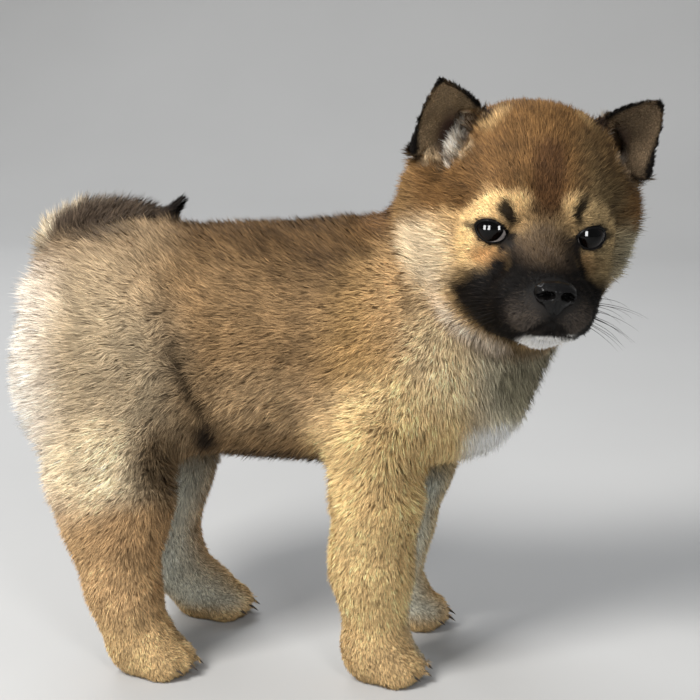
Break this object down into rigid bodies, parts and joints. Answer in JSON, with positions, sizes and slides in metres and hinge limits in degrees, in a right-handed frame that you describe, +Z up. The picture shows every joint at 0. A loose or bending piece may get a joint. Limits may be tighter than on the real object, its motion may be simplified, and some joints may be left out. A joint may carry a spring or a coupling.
{
  "type": "shiba inu puppy",
  "caption": "Life-size still model of a sesame shiba inu puppy standing square with its head turned to its right and its tail curled over its back.",
  "frame": {"origin": "on the floor under the middle of the whole animal's box", "axes": "+X the way the body faces, +Y the animal's left, +Z up"},
  "size_m": [0.298, 0.1458, 0.2779],
  "materials": {
    "coat": "dense soft fur, red-brown to cream, dark at the tips",
    "dark_coat": "short fur, nearly black",
    "nose_skin": "moist pebbled skin",
    "eye": "wet and glossy"
  },
  "bodies": {
    "root": {"torso": "coat", "neck": "coat", "head": "coat", "lower_jaw": "coat", "nose": "nose_skin", "eye_right": "eye", "eye_left": "eye", "ear_right": "dark_coat", "ear_left": "dark_coat", "tail": "dark_coat", "foreleg_right": "coat", "foreleg_left": "coat", "hindleg_right": "coat", "hindleg_left": "coat", "forepaw_right": "coat", "forepaw_left": "coat", "hindpaw_right": "coat", "hindpaw_left": "coat"}
  },
  "joints": []
}
